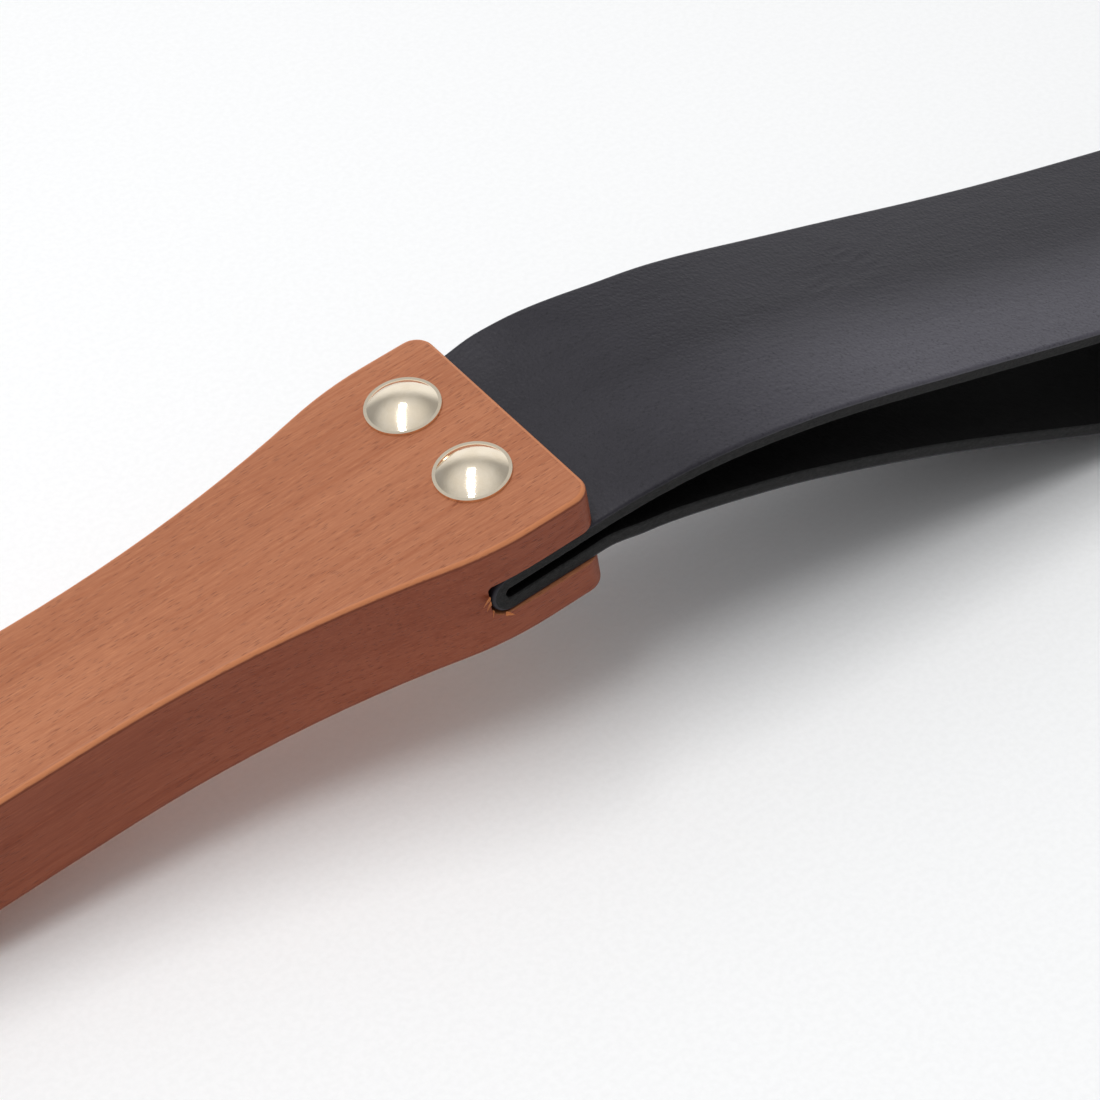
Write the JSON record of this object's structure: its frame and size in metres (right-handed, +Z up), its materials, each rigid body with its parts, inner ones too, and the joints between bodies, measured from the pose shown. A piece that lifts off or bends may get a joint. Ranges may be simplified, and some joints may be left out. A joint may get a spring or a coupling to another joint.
{
  "type": "leather strop",
  "caption": "Flat waisted wooden handle with a doubled leather strap riveted in its slotted head, closed at the far end round a hanging D-ring, lying on a bench.",
  "frame": {"origin": "on the bench that the strop lies on, at the middle of its box in X and Y", "axes": "+X along the strop from the handle to the hanging ring, +Y across the strap, +Z up from the bench; the handle slopes up towards its head by 11 degrees"},
  "size_m": [0.5401, 0.058, 0.0487],
  "materials": {
    "beech": "reddish brown satin stain",
    "leather": "black, smooth fine grain outside, rough flesh side inside",
    "rivet_metal": "polished pale gold plating",
    "ring_metal": "polished pale gold plating"
  },
  "bodies": {
    "root": {"handle": "beech", "leather_root": "leather", "left_head_rivet_top_cap": "rivet_metal", "left_head_rivet_tube": "rivet_metal", "left_head_rivet_post": "rivet_metal", "left_head_rivet_bottom_cap": "rivet_metal", "right_head_rivet_top_cap": "rivet_metal", "right_head_rivet_tube": "rivet_metal", "right_head_rivet_post": "rivet_metal", "right_head_rivet_bottom_cap": "rivet_metal"},
    "strap": {"upper_layer": "leather", "lower_layer": "leather", "left_end_rivet_top_cap": "rivet_metal", "left_end_rivet_tube": "rivet_metal", "left_end_rivet_post": "rivet_metal", "left_end_rivet_bottom_cap": "rivet_metal", "right_end_rivet_top_cap": "rivet_metal", "right_end_rivet_tube": "rivet_metal", "right_end_rivet_post": "rivet_metal", "right_end_rivet_bottom_cap": "rivet_metal"},
    "ring": {"d_ring": "ring_metal"}
  },
  "joints": [
    {"name": "strap_flex", "type": "hinge", "parent": "root", "child": "strap", "pos_m": [-0.11308, 0, 0.03945], "axis": [0, -1, 0], "range_deg": [-80, 80], "stiffness_Nm_per_rad": 0.35, "springref_deg": -5.73},
    {"name": "ring_swing", "type": "hinge", "parent": "strap", "child": "ring", "pos_m": [0.23701, 0, 0.00735], "axis": [0, -1, 0], "range_deg": [-120, 150]}
  ]
}
